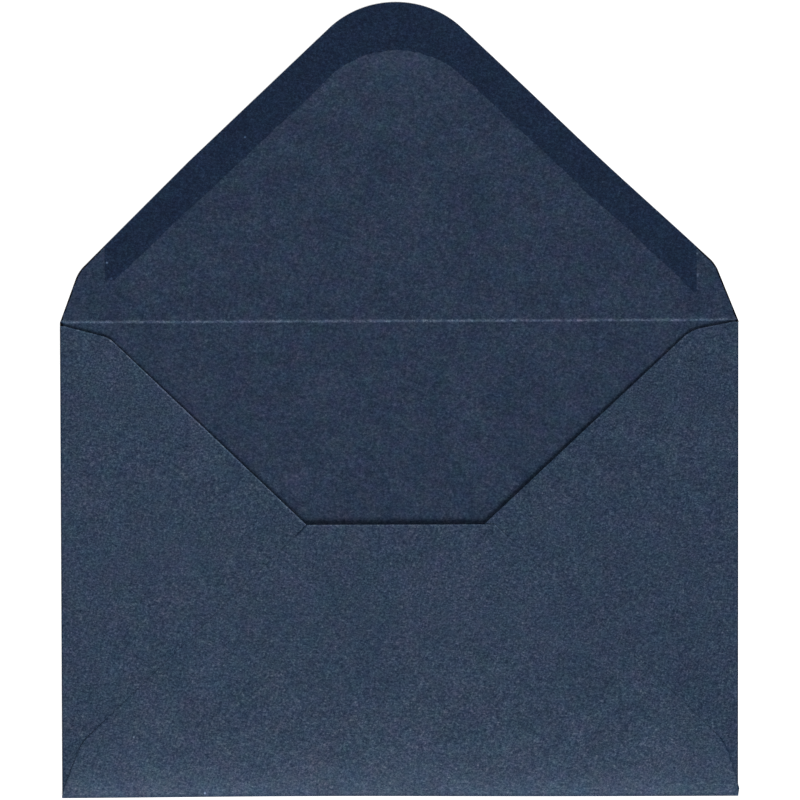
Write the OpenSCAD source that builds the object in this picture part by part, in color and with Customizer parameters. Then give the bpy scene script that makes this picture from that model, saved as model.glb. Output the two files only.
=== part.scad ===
// Paper envelope folded from one sheet, lying on its address face with the pointed flap opened flat.
// The origin is the middle of the address face. +Z is up, and +Y runs from the pocket to the open flap.

/* [Pocket] */
// Width over the two side folds
body_w = 162; // [130:1:230]
// Height from the bottom fold to the flap's crease
body_h = 114; // [100:1:130]
// Thickness of the paper
paper = 0.2; // [0.12:0.01:0.3]
// Lean of the right side fold, which is creased slightly out of square
fold_lean = 0.27; // [0:0.01:0.4]

/* [Folds] */
// Outer radius of the side folds
side_fold_r = 0.45; // [0.4:0.01:0.6]
// Angle at which the bottom flap springs away from its fold
bottom_spring = 10; // [6:0.5:14]
// Distance from the bottom fold over which that slope levels out
bottom_run = 14; // [10:1:18]
// Angle at which the side flaps spring away from their folds
side_spring = 8; // [6:0.5:10]
// Distance from a side fold over which that slope levels out
side_run = 20; // [16:1:22]
// Height of the bead raised by the score along the flap's crease
bead_h = 0.08; // [0.04:0.01:0.1]
// Width of that bead
bead_w = 0.8; // [0.6:0.1:1.2]

/* [Top flap] */
// Height of the flap's shoulders above the crease
shoulder_h = 12.4; // [8:0.1:16]
// How far the shoulders stand in from the side folds
shoulder_in = 4.8; // [3:0.1:8]
// Rounding of the shoulders
shoulder_r = 8; // [4:0.5:10]
// Slope of the flap's long edges against the crease
flap_angle = 43.7; // [40:0.1:46]
// Rounding of the flap's point
point_r = 23; // [15:0.5:28]
// Sideways offset of the point, which is cut slightly off the middle
point_off = -1.2; // [-2:0.1:2]

/* [Side flaps] */
// Distance of the side flaps' corners from the side folds
side_corner_in = 11.7; // [9:0.1:14]
// Depth of those corners below the crease
side_corner_drop = 3; // [2:0.1:5]
// Rounding of those corners
side_corner_r = 15; // [8:0.5:16]
// Slope of the side flaps' long edges against the crease
side_angle = 43.3; // [42:0.1:45]
// Rounding of the side flaps' hidden tips
side_tip_r = 12; // [6:0.5:12]

/* [Bottom flap] */
// Depth of the throat, from the crease to the bottom flap's edge
throat = 48.2; // [46:0.1:50]
// Height of the bottom flap's shoulders above its fold
bottom_shoulder_h = 12.5; // [11:0.1:14]
// How far those shoulders stand in from the side folds
bottom_shoulder_in = 4; // [3:0.1:5]
// Rounding of those shoulders
bottom_shoulder_r = 15; // [8:0.5:15]
// Slope of the glued edges against the bottom fold
seam_angle = 44; // [43:0.1:45]
// Sideways offset of the bottom flap, which is folded slightly off the middle
bottom_off = 0.3; // [-0.3:0.1:0.3]

/* [Glue and gum] */
// Thickness of the dry glue in the seams
glue = 0.05; // [0.03:0.01:0.08]
// Width of each line of glue
glue_w = 6; // [3:0.5:7]
// Distance of the glue from the bottom flap's edge
glue_in = 2.5; // [1.5:0.1:3]
// Thickness of the gum on the flap
gum = 0.05; // [0.03:0.01:0.1]
// Depth of the gum band, measured along the height of the flap
gum_drop = 11.3; // [8:0.1:14]
// Distance of the band's ends from the side folds
gum_end_in = 10; // [8:0.5:16]
// Distance of the band's ends from the crease
gum_end_h = 8.5; // [7:0.5:12]

/* [Hidden] */

paper_colour = [0.20, 0.255, 0.333];
gum_colour = [0.118, 0.165, 0.243];
glue_colour = [0.82, 0.80, 0.72];

// Facets of a circle in the preview
$fn = 96;
// Flat steps that make up a panel's arch
arch_steps = 7;
// Length that cutting shapes run past what they cut
past = 5;
// Excess of a rounding's radius, so that its arc crosses the edges beside it instead of only touching them
meet = 0.001;

crease_y = body_h / 2;
bottom_y = -body_h / 2;
side_x = body_w / 2;

// One layer of the back: the paper and the glue under it
layer = paper + glue;
// The bottom fold wraps a side flap and its glue as well as the front, so it is rounder than a side fold
bottom_fold_r = side_fold_r + layer / 2;
bottom_arch_r = bottom_run / sin(bottom_spring);
side_arch_r = side_run / sin(side_spring);
// The bottom flap stays level for a while past its arch, then sinks gently towards the crease
level_run = 10;
crease_clear = 0.1;
crease_z = 2 * side_fold_r + crease_clear + layer;

// Gaps where the blank is notched at the ends of its folds
top_notch = 0.5;
flap_notch = 0.3;
bottom_notch = bottom_fold_r + 0.15;
bottom_ear_h = 1.6;
bottom_ear_in = 0.45;
bottom_foot_in = 0.75;
crease_end_in = 0.4;
tongue = 0.1;

// Unit vector
function unit(v) = v / norm(v);

// A point carried over to the other side of the envelope
function flipped(p) = [-p[0], p[1]];

// What is cut away to round the corner at v, between its neighbours a and b, to radius r
module corner_waste(a, v, b, r) {
    to_a = unit(a - v);
    to_b = unit(b - v);
    half = acos(to_a * to_b) / 2;
    reach = r / tan(half);
    centre = v + unit(to_a + to_b) * r / sin(half);
    touch_a = v + to_a * reach;
    touch_b = v + to_b * reach;
    difference() {
        polygon([
            centre, touch_a, touch_a - to_b * past, v - (to_a + to_b) * past, touch_b - to_a * past, touch_b
        ]);
        translate(centre) circle(r + meet);
    }
}

// Height of the level part of a panel, whose face has radius q where it leaves its fold
function crest_z(fold_r, q, spring, arch_r) = fold_r + q + (arch_r - fold_r) * (1 - cos(spring));

// Section of the paper around a fold. The fold's line is at the left, and the paper leaves it at the angle
// spring. A tongue inside the paper's thickness carries on into the flap, so that the two are one solid.
module fold_round(fold_r, spring) {
    past_it = 2 * fold_r;
    translate([fold_r, fold_r]) rotate(spring) translate([-tongue / 2, fold_r - paper * 3 / 4])
        square([tongue, paper / 2]);
    translate([fold_r, fold_r]) difference() {
        circle(fold_r);
        circle(fold_r - paper);
        polygon([
            [0, 0], [0, -past_it], [past_it, -past_it], [past_it, past_it],
            past_it * [-sin(spring), cos(spring)]
        ]);
    }
}

// Section of the half-plane in which a flap lies once it has left the fold
module beyond_fold(fold_r, spring, far) {
    polygon([
        [fold_r, fold_r], [fold_r, fold_r] + past * [-sin(spring), cos(spring)],
        [far, fold_r + past], [far, fold_r]
    ]);
}

// Section of all that lies under a panel. The panel leaves its fold at the angle spring and arches over
// until it is level. It stays level as far as level_end and then runs straight to height far_z. The radius q
// of the fold's round sets the depth of the panel's face.
module under_panel(fold_r, q, spring, arch_r, level_end, far, far_z) {
    arch_c = [fold_r + (arch_r - fold_r) * sin(spring), fold_r - (arch_r - fold_r) * cos(spring)];
    arch_q = arch_r - fold_r + q;
    turns = [for (step = [0 : arch_steps]) spring * (step / arch_steps - 1)];
    arch = [for (turn = turns) arch_c + arch_q * [sin(turn), cos(turn)]];
    crest = arch[arch_steps][1];
    near_side = [[-past, -past], [-past, arch[0][1]]];
    far_side = [[level_end, crest], [far, far_z], [far, -past]];
    polygon(concat(near_side, arch, far_side));
}

// Limit set by the bottom flap, at a depth below its outer face
module bottom_section(depth) {
    q = bottom_fold_r - depth;
    level_end = bottom_run + level_run;
    far = body_h + past;
    crest = crest_z(bottom_fold_r, q, bottom_spring, bottom_arch_r);
    slope = (crest + depth - crease_z) / (body_h - level_end);
    far_z = crest - slope * (far - level_end);
    under_panel(bottom_fold_r, q, bottom_spring, bottom_arch_r, level_end, far, far_z);
}

// Limit set by a side flap, at a depth below the bottom flap's outer face
module side_section(depth) {
    q = side_fold_r + layer - depth;
    crest = crest_z(side_fold_r, q, side_spring, side_arch_r);
    under_panel(side_fold_r, q, side_spring, side_arch_r, side_run + past, body_w, crest);
}

// A section measured from the bottom fold, run along the width
module along_bottom(start = -past, end = body_w + past) {
    translate([start - side_x, bottom_y, 0]) rotate([90, 0, 90]) linear_extrude(end - start) children();
}

// A section measured from the left side fold, run down from the crease
module along_left(start = -past, end = body_h + past) {
    translate([-side_x, crease_y - start, 0]) rotate([90, 0, 0]) linear_extrude(end - start) children();
}

// A section measured from the right side fold, which leans, run down from the crease
module along_right(start = -past, end = body_h + past) {
    translate([side_x, crease_y, 0]) rotate(-fold_lean) mirror([1, 0, 0])
        translate([0, -start, 0]) rotate([90, 0, 0]) linear_extrude(end - start) children();
}

// All the space under the back, shrunk by depth from the bottom flap's outer face
module under_back(depth) {
    intersection() {
        along_bottom() bottom_section(depth);
        along_left() side_section(depth);
        along_right() side_section(depth);
    }
}

// One layer of the back, between two depths
module back_layer(top, bottom) {
    difference() {
        under_back(top);
        under_back(bottom);
    }
}

// Outline of the top flap, down to the notches at the ends of its crease
module top_flap_plan() {
    half_base = side_x - shoulder_in;
    point_h = shoulder_h + half_base * tan(flap_angle);
    left_shoulder = [point_off / 3 - half_base, crease_y + shoulder_h];
    right_shoulder = [point_off / 3 + half_base, crease_y + shoulder_h];
    point = [point_off, crease_y + point_h];
    left_foot = [-side_x, crease_y - flap_notch];
    right_foot = [side_x, crease_y - flap_notch];
    difference() {
        polygon([left_foot, left_shoulder, point, right_shoulder, right_foot]);
        corner_waste(left_foot, left_shoulder, point, shoulder_r);
        corner_waste(right_foot, right_shoulder, point, shoulder_r);
        corner_waste(left_shoulder, point, right_shoulder, point_r);
    }
}

// Outline of the front panel between the folds, without the top flap
module front_plan() {
    intersection() {
        translate([-side_x + side_fold_r, bottom_y + bottom_fold_r])
            square([body_w, body_h - bottom_fold_r]);
        translate([side_x, crease_y]) rotate(-fold_lean)
            translate([-body_w - side_fold_r, -body_h - past])
            square([body_w, body_h + 2 * past]);
    }
}

// Outline of a side flap and its fold. Its fold runs down from the origin, and the flap lies to the right.
module side_flap_plan() {
    start = [0, -top_notch];
    corner = [side_corner_in, -side_corner_drop];
    low_start = [0, bottom_notch - body_h];
    low_corner = [side_corner_in, side_corner_drop + bottom_notch - top_notch - body_h];
    mid = (corner[1] + low_corner[1]) / 2;
    tip = [side_corner_in + (corner[1] - mid) / tan(side_angle), mid];
    difference() {
        polygon([[-past, start[1]], start, corner, tip, low_corner, low_start, [-past, low_start[1]]]);
        corner_waste(start, corner, tip, side_corner_r);
        corner_waste(low_start, low_corner, tip, side_corner_r);
        corner_waste(corner, tip, low_corner, side_tip_r);
    }
}

// Corners of the bottom flap on its left, from the fold to the throat
shoulder_left = [-side_x + bottom_shoulder_in, bottom_y + bottom_shoulder_h];
throat_left = shoulder_left
    + [(crease_y - throat - shoulder_left[1]) / tan(seam_angle), crease_y - throat - shoulder_left[1]];
ear_left = [-side_x + bottom_ear_in, bottom_y + bottom_ear_h];
foot_left = [-side_x + bottom_foot_in, bottom_y];

// Outline of the bottom flap and its fold
module bottom_flap_plan() {
    translate([bottom_off, 0]) difference() {
        polygon([
            foot_left - [0, past], foot_left, ear_left, shoulder_left, throat_left,
            flipped(throat_left), flipped(shoulder_left), flipped(ear_left), flipped(foot_left),
            flipped(foot_left) - [0, past]
        ]);
        corner_waste(ear_left, shoulder_left, throat_left, bottom_shoulder_r);
        corner_waste(flipped(ear_left), flipped(shoulder_left), flipped(throat_left), bottom_shoulder_r);
    }
}

// Outline of one line of glue, beside the slanted edge on the left of the bottom flap
module glue_plan() {
    along = unit(throat_left - shoulder_left);
    across = [along[1], -along[0]];
    start = shoulder_left + along * glue_w + across * glue_in;
    end = throat_left - along * glue_w + across * glue_in;
    polygon([start, end, end + across * glue_w, start + across * glue_w]);
}

// Outline of the gum band: the flap without a copy of itself slid down towards the crease
module gum_plan() {
    difference() {
        top_flap_plan();
        translate([0, -gum_drop]) top_flap_plan();
        translate([-side_x - past, 0]) square([gum_end_in + past, body_h]);
        translate([side_x - gum_end_in, 0]) square([gum_end_in + past, body_h]);
        translate([-side_x, 0]) square([body_w, crease_y + gum_end_h]);
    }
}

// A slab taller than the whole envelope, which cuts a layer to its outline
module tall() {
    translate([0, 0, -past]) linear_extrude(3 * past) children();
}

// The left side flap, from its fold to its tip
module left_flap() {
    along_left(top_notch, body_h - bottom_notch) fold_round(side_fold_r, side_spring);
    intersection() {
        back_layer(layer, layer + paper);
        tall() translate([-side_x, crease_y]) side_flap_plan();
        along_left() beyond_fold(side_fold_r, side_spring, body_w);
    }
}

// The right side flap, which follows its leaning fold
module right_flap() {
    along_right(top_notch, body_h - bottom_notch) fold_round(side_fold_r, side_spring);
    intersection() {
        back_layer(layer, layer + paper);
        tall() translate([side_x, crease_y]) rotate(-fold_lean) mirror([1, 0]) side_flap_plan();
        along_right() beyond_fold(side_fold_r, side_spring, body_w);
    }
}

// The bottom flap, from its fold to the throat
module bottom_flap() {
    intersection() {
        along_bottom() fold_round(bottom_fold_r, bottom_spring);
        tall() bottom_flap_plan();
    }
    intersection() {
        back_layer(0, paper);
        tall() bottom_flap_plan();
        along_bottom() beyond_fold(bottom_fold_r, bottom_spring, body_h);
    }
}

// Round-topped strip along the crease, as high and as wide as the bead
module crease_round(z) {
    r = (bead_w * bead_w / 4 + bead_h * bead_h) / (2 * bead_h);
    translate([-side_x + crease_end_in, crease_y, 0]) rotate([90, 0, 90])
        linear_extrude(body_w - 2 * crease_end_in) intersection() {
            translate([0, z + bead_h - r]) circle(r);
            translate([-bead_w, z - paper / 2]) square([2 * bead_w, paper]);
        }
}

module envelope_sheet() {
    color(paper_colour) {
        difference() {
            union() {
                linear_extrude(paper) union() {
                    front_plan();
                    top_flap_plan();
                }
                crease_round(paper);
            }
            crease_round(0);
        }
        left_flap();
        right_flap();
        bottom_flap();
    }
}

// One line of glue between a side flap and the bottom flap
module seam_glue(flip) {
    intersection() {
        tall() translate([bottom_off, 0]) mirror([flip, 0]) glue_plan();
        back_layer(paper, layer);
    }
}

module seam_glue_left() {
    color(glue_colour) seam_glue(0);
}

module seam_glue_right() {
    color(glue_colour) seam_glue(1);
}

module flap_gum() {
    color(gum_colour) translate([0, 0, paper]) linear_extrude(gum) gum_plan();
}

envelope_sheet();
seam_glue_left();
seam_glue_right();
flap_gum();
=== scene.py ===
"""A folded paper envelope: the sheet, the gum on its open flap and the glue in its two seams.

Lengths are in metres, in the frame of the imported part. The origin is the middle of the address
face, +Y runs from the bottom fold to the open flap, and +Z points up, out of the back. The sheet is
cut, folded and pressed as the real one is, and its outline is as slightly uneven as the real one's.
"""

import logging
import math
from collections.abc import Callable, Iterable, Sequence
from dataclasses import dataclass, field
from enum import Enum, auto

import bmesh
import bpy
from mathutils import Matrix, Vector, noise


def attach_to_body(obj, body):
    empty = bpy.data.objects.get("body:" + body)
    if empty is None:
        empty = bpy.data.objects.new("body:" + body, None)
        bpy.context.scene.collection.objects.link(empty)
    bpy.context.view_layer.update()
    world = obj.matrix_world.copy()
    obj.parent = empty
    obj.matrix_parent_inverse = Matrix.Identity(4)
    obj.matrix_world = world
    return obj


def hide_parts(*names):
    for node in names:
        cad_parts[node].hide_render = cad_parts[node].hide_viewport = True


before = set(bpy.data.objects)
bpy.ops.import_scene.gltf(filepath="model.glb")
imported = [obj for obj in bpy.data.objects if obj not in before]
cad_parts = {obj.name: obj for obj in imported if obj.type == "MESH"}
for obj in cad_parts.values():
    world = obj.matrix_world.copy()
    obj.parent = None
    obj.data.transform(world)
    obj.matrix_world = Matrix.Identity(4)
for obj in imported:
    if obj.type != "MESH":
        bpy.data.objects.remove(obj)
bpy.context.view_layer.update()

log = logging.getLogger("envelope")

MM = 0.001
BODY = "root"

# Sizes that several pieces share: the place of the top flap's crease, and the thickness of the
# paper and of a film of gum or glue
CREASE_Y = 57.0 * MM
PAPER = 0.2 * MM
FILM = 0.05 * MM

# Two points closer than this are one point
SAME = 0.001 * MM

# A line between two points this far out crosses every piece
FAR = 1.0

# Faces that meet at a sharper angle than this show an edge
SMOOTH_ANGLE = math.radians(40)

Point = tuple[float, float]
Colour = tuple[float, float, float]
PointTest = Callable[[Vector], bool]
Select = Callable[[], None]
Inputs = dict[str | int, object]


class Pick(Enum):
    """What an edit-mode selection is made of."""

    VERTICES = "VERT"
    EDGES = "EDGE"
    FACES = "FACE"


class Layer(Enum):
    """The part of the folded sheet on which a point lies."""

    FRONT = auto()
    SIDE_FOLD = auto()
    SIDE_FLAP = auto()
    BOTTOM_FOLD = auto()
    BOTTOM_FLAP = auto()


def smooth_step(low: float, high: float, value: float) -> float:
    """Return 0 below low, 1 above high and a smooth rise between them."""
    share = min(max((value - low) / (high - low), 0.0), 1.0)
    return share * share * (3 - 2 * share)


def soft_minimum(first: float, second: float, reach: float) -> float:
    """Return the lower of two heights, rounded off where they are closer than reach."""
    share = max(reach - abs(first - second), 0.0) / reach
    return min(first, second) - share * share * reach / 4


class Workpiece:
    """A mesh that is shaped in edit mode, from a rectangular plate to the finished piece."""

    def __init__(self, name: str, low: Point, high: Point, z: float) -> None:
        """Add the plate and enter edit mode.

        Args:
            name: Name of the object.
            low: Corner of the plate with the lowest x and y.
            high: Corner of the plate with the highest x and y.
            z: Height at which the plate lies.
        """
        bpy.ops.object.select_all(action="DESELECT")
        centre = ((low[0] + high[0]) / 2, (low[1] + high[1]) / 2, z)
        bpy.ops.mesh.primitive_plane_add(size=1, location=centre)
        self.obj = bpy.context.object
        self.obj.name = name
        self.obj.data.name = name
        self.obj.scale = (high[0] - low[0], high[1] - low[1], 1)
        bpy.ops.object.transform_apply(location=True, rotation=True, scale=True)
        bpy.ops.object.mode_set(mode="EDIT")

    def pick_all(self) -> None:
        """Select the whole piece."""
        bpy.ops.mesh.select_all(action="SELECT")

    def pick(self, kind: Pick, test: PointTest) -> None:
        """Select the vertices, edges or faces whose corners all pass a test.

        Args:
            kind: What is selected.
            test: Tells whether a corner's place is right.
        """
        bpy.ops.mesh.select_all(action="DESELECT")
        bpy.ops.mesh.select_mode(type=kind.value)
        mesh = bmesh.from_edit_mesh(self.obj.data)
        items = {Pick.VERTICES: mesh.verts, Pick.EDGES: mesh.edges, Pick.FACES: mesh.faces}[kind]
        for item in items:
            corners = [item] if kind is Pick.VERTICES else item.verts
            if all(test(corner.co) for corner in corners):
                item.select_set(True)
        mesh.select_flush_mode()
        bmesh.update_edit_mesh(self.obj.data)

    def pick_nearest(self, spot: Vector) -> None:
        """Select the nearest vertex.

        Args:
            spot: The place from which the distance counts.
        """
        bpy.ops.mesh.select_all(action="DESELECT")
        bpy.ops.mesh.select_mode(type=Pick.VERTICES.value)
        mesh = bmesh.from_edit_mesh(self.obj.data)
        nearest = min(mesh.verts, key=lambda vertex: (vertex.co - spot).length_squared)
        nearest.select_set(True)
        bmesh.update_edit_mesh(self.obj.data)

    def score(self, start: Point, end: Point) -> None:
        """Cut the selected faces along the line through two points, and keep both sides."""
        self._bisect(start, end, clear=False)

    def trim(self, start: Point, end: Point) -> None:
        """Cut away what lies to the right of a line, from the selected faces."""
        self._bisect(start, end, clear=True)

    def _bisect(self, start: Point, end: Point, clear: bool) -> None:
        """Cut the selected faces by an upright plane.

        Args:
            start: A point of the cut.
            end: A later point of the cut.
            clear: Whether what lies to the right of the cut is deleted.
        """
        along = (end[0] - start[0], end[1] - start[1])
        bpy.ops.mesh.bisect(
            plane_co=(*start, 0),
            plane_no=(along[1], -along[0], 0),
            clear_outer=clear,
            threshold=SAME,
        )

    def follow(self, corners: Sequence[Point], select: Select, mirrored: bool = False) -> None:
        """Cut from corner to corner, and keep what lies on one side.

        Args:
            corners: The corners of the outline.
            select: Selects the faces to cut, before each cut.
            mirrored: Whether what lies to the right stays, and otherwise what lies to the left.
        """
        for start, end in zip(corners, corners[1:]):
            select()
            self.trim(*((end, start) if mirrored else (start, end)))

    def round_corner(self, corner: Point, z: float, radius: float, segments: int) -> None:
        """Round the corner of an outline.

        Args:
            corner: Place of the corner.
            z: Height of the corner.
            radius: Radius of the rounding.
            segments: Number of edges along the rounding.
        """
        self.pick_nearest(Vector((*corner, z)))
        mesh = bmesh.from_edit_mesh(self.obj.data)
        tip = next(vertex for vertex in mesh.verts if vertex.select)
        sides = [edge.other_vert(tip).co - tip.co for edge in tip.link_edges]
        half = sides[0].angle(sides[1]) / 2
        bpy.ops.mesh.bevel(
            offset_type="OFFSET",
            offset=radius / math.tan(half),
            segments=segments,
            profile=0.5,
            affect="VERTICES",
        )

    def extrude(self, along: Vector) -> None:
        """Extrude the selected edges or faces along a vector."""
        bpy.ops.mesh.extrude_region_move(TRANSFORM_OT_translate={"value": along})

    @staticmethod
    def inset(width: float) -> None:
        """Inset the selected faces by a width."""
        bpy.ops.mesh.inset(thickness=width, depth=0, use_boundary=True, use_even_offset=True)

    def grid(self, across: Iterable[float], up: Iterable[float]) -> None:
        """Cut the whole piece along upright planes.

        Args:
            across: Values of x at which it is cut.
            up: Values of y at which it is cut.
        """
        lines = [((x, -FAR), (x, FAR)) for x in across]
        lines += [((-FAR, y), (FAR, y)) for y in up]
        for start, end in lines:
            self.pick_all()
            self.score(start, end)

    def close(self) -> bpy.types.Object:
        """Merge doubled points and leave edit mode.

        Returns:
            The finished object.
        """
        self.pick_all()
        bpy.ops.mesh.remove_doubles(threshold=SAME)
        bpy.ops.object.mode_set(mode="OBJECT")
        return self.obj

    def close_solid(self, height: float) -> bpy.types.Object:
        """Raise the whole plate into a solid and leave edit mode.

        Args:
            height: Height of the solid.

        Returns:
            The finished object.
        """
        self.pick_all()
        self.extrude(Vector((0, 0, height)))
        self.pick_all()
        bpy.ops.mesh.normals_make_consistent(inside=False)
        return self.close()


def steps(low: float, high: float, pitch: float) -> list[float]:
    """Return evenly spaced values from low to high, about one pitch apart."""
    count = max(round((high - low) / pitch), 1)
    return [low + (high - low) * number / count for number in range(count + 1)]


def dress(obj: bpy.types.Object, materials: list[bpy.types.Material]) -> None:
    """Give an object its materials, in the order of its slots."""
    for material in materials:
        obj.data.materials.append(material)


def thicken(obj: bpy.types.Object, thickness: float, slots: int = 0) -> None:
    """Give a surface its thickness, half of it on each side, with an applied modifier.

    Args:
        obj: The surface.
        thickness: Thickness that it gets.
        slots: 1 if the underside and the rim have material slots of their own, and otherwise 0.
    """
    shell = obj.modifiers.new("thickness", "SOLIDIFY")
    shell.thickness = thickness
    shell.offset = 0
    shell.use_even_offset = True
    shell.material_offset = slots
    shell.material_offset_rim = 2 * slots
    bpy.context.view_layer.objects.active = obj
    bpy.ops.object.modifier_apply(modifier=shell.name)


@dataclass(frozen=True)
class PressedRoof:
    """The shape of the pocket's back: it springs up from each fold and levels out.

    Attributes:
        left, right, bottom: Outer edges of the folds.
        crease: Place of the top flap's crease.
        paper, glue: Thickness of the paper and of the glue.
        side_fold_r, bottom_fold_r: Outer radius of the folds.
        side_spring, bottom_spring: Slope of the flaps where they leave the folds.
        side_crest, bottom_crest: Height at which the flaps level out.
        crease_mid: Height to which the bottom flap's line sinks at the crease.
        sink_start: How far from the bottom fold it begins to sink.
        blend: Reach of the rounding where the flaps' heights meet.
    """

    left: float = -81.09 * MM
    right: float = 80.98 * MM
    bottom: float = -57.0 * MM
    crease: float = CREASE_Y
    paper: float = PAPER
    glue: float = FILM
    side_fold_r: float = 0.45 * MM
    bottom_fold_r: float = 0.575 * MM
    side_spring: float = math.radians(8)
    bottom_spring: float = math.radians(20)
    side_crest: float = 1.86 * MM
    bottom_crest: float = 2.27 * MM
    crease_mid: float = 1.15 * MM
    sink_start: float = 14 * MM
    blend: float = 0.3 * MM

    @staticmethod
    def _fold_end(radius: float, spring: float, paper: float) -> Point:
        """Return the distance and the height at which the paper's middle leaves a fold."""
        middle = radius - paper / 2
        return radius - middle * math.sin(spring), radius + middle * math.cos(spring)

    def side_end(self) -> Point:
        """Return the distance and the height at which a side flap leaves its fold."""
        return self._fold_end(self.side_fold_r, self.side_spring, self.paper)

    def bottom_end(self) -> Point:
        """Return the distance and the height at which the bottom flap leaves its fold."""
        return self._fold_end(self.bottom_fold_r, self.bottom_spring, self.paper)

    @staticmethod
    def _arch(distance: float, end: Point, spring: float, crest: float) -> float:
        """Work out the height of a flap that leaves its fold at a slope and levels out.

        Args:
            distance: Distance from the fold's outer edge.
            end: Distance and height at which the flap leaves its fold.
            spring: Slope there, as an angle.
            crest: Height at which the flap levels out.

        Returns:
            The height of the middle of the paper.
        """
        rise = crest - end[1]
        reach = rise / math.tan(spring)
        return end[1] + rise * (1 - math.exp(-max(distance - end[0], 0.0) / reach))

    def height(self, x: float, y: float) -> float:
        """Work out how high the bottom flap lies over the front.

        Args:
            x: Place across the envelope.
            y: Place up the envelope.

        Returns:
            The height of the middle of the paper.
        """
        from_side = min(x - self.left, self.right - x)
        from_bottom = y - self.bottom
        side = self._arch(from_side, self.side_end(), self.side_spring, self.side_crest)
        bottom = self._arch(from_bottom, self.bottom_end(), self.bottom_spring, self.bottom_crest)
        sink_length = self.crease - self.bottom - self.sink_start
        sunk = max(from_bottom - self.sink_start, 0.0) / sink_length
        bottom -= (self.bottom_crest - self.crease_mid) * sunk
        return soft_minimum(bottom, side + self.paper + self.glue, self.blend)


@dataclass(frozen=True)
class TopFlapCut:
    """Outline of the pointed top flap on the flat sheet.

    Attributes:
        left_foot, right_foot: Ends of the crease.
        left_shoulder, right_shoulder: Corners between the short and the long edges.
        left_bend: Place where the long left edge turns slightly.
        point: Corner at the top.
        left_shoulder_r, right_shoulder_r, point_r: Radii of the corners.
        shoulder_steps, point_steps: Number of edges along each rounding.
        hollow: How far the long right edge is hollow.
        hollow_x, hollow_reach: Where it is hollow, and how far the hollow reaches along it.
        hollow_depth: How far into the flap the hollow is felt.
    """

    left_foot: Point = (-81.09 * MM, CREASE_Y)
    right_foot: Point = (80.88 * MM, CREASE_Y)
    left_shoulder: Point = (-76.74 * MM, 68.93 * MM)
    right_shoulder: Point = (75.56 * MM, 70.31 * MM)
    left_bend: Point = (-50.28 * MM, 95.20 * MM)
    point: Point = (-0.76 * MM, 141.90 * MM)
    left_shoulder_r: float = 7.4 * MM
    right_shoulder_r: float = 7 * MM
    point_r: float = 23.1 * MM
    shoulder_steps: int = 8
    point_steps: int = 32
    hollow: float = 0.37 * MM
    hollow_x: float = 48 * MM
    hollow_reach: float = 17 * MM
    hollow_depth: float = 10 * MM

    def cut(self, piece: Workpiece, select: Select, z: float) -> None:
        """Cut the flap out of a plate that reaches past it.

        Args:
            piece: The workpiece that holds the plate.
            select: Selects the plate, before each cut.
            z: Height of the plate.
        """
        right = (self.right_foot, self.right_shoulder)
        left = (self.left_bend, self.left_shoulder, self.left_foot)
        piece.follow([*right, self.point, *left], select)
        piece.round_corner(self.left_shoulder, z, self.left_shoulder_r, self.shoulder_steps)
        piece.round_corner(self.right_shoulder, z, self.right_shoulder_r, self.shoulder_steps)
        piece.round_corner(self.point, z, self.point_r, self.point_steps)

    def shift(self, spot: Vector) -> Vector:
        """Work out how a point of the flap moves so that the long right edge is slightly hollow.

        Args:
            spot: Place of the point.

        Returns:
            How far the point moves.
        """
        start, end = Vector(self.right_shoulder), Vector(self.point)
        along = (end - start).normalized()
        inward = Vector((-along.y, along.x))
        inside = (spot.xy - start).dot(inward)
        away = (spot.x - self.hollow_x) / self.hollow_reach
        share = math.exp(-(away**2)) if spot.x > 0 else 0.0
        share *= 1 - smooth_step(0, self.hollow_depth, inside)
        return Vector((*(inward * self.hollow * share), 0))


@dataclass(frozen=True)
class SideFlapCut:
    """Outline of one side flap, from the end of its fold to its tip and back.

    Attributes:
        fold_x: Place where the front panel ends and the fold begins.
        fold_top: Upper end of the fold.
        shelf_x: How far the front panel reaches between the fold's end and the crease.
        top: Start of the flap's top edge, at the fold.
        corner: Corner between the top edge and the slanted edge.
        low_top: A point low on the slanted edge.
        corner_r: Radius of the corner.
        tip_r: Radius of the flap's tip, which the bottom flap hides.
        corner_steps: Number of edges along each rounding.
        middle: Place of the line in which the flap's hidden lower half mirrors its upper half.
    """

    fold_x: float
    fold_top: float
    shelf_x: float
    top: Point
    corner: Point
    low_top: Point
    corner_r: float
    tip_r: float = 12 * MM
    corner_steps: int = 10
    middle: float = -0.1 * MM

    def outline(self) -> list[Point]:
        """Work out the flap's outline.

        Returns:
            Its corners, from the top edge round to the lower edge.
        """
        middle = self.middle
        slope = (self.low_top[1] - self.corner[1]) / (self.low_top[0] - self.corner[0])
        tip = (self.corner[0] + (middle - self.corner[1]) / slope, middle)
        low_corner = (self.corner[0], 2 * middle - self.corner[1])
        low = (self.top[0], 2 * middle - self.top[1])
        return [self.top, self.corner, tip, low_corner, low]


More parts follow.
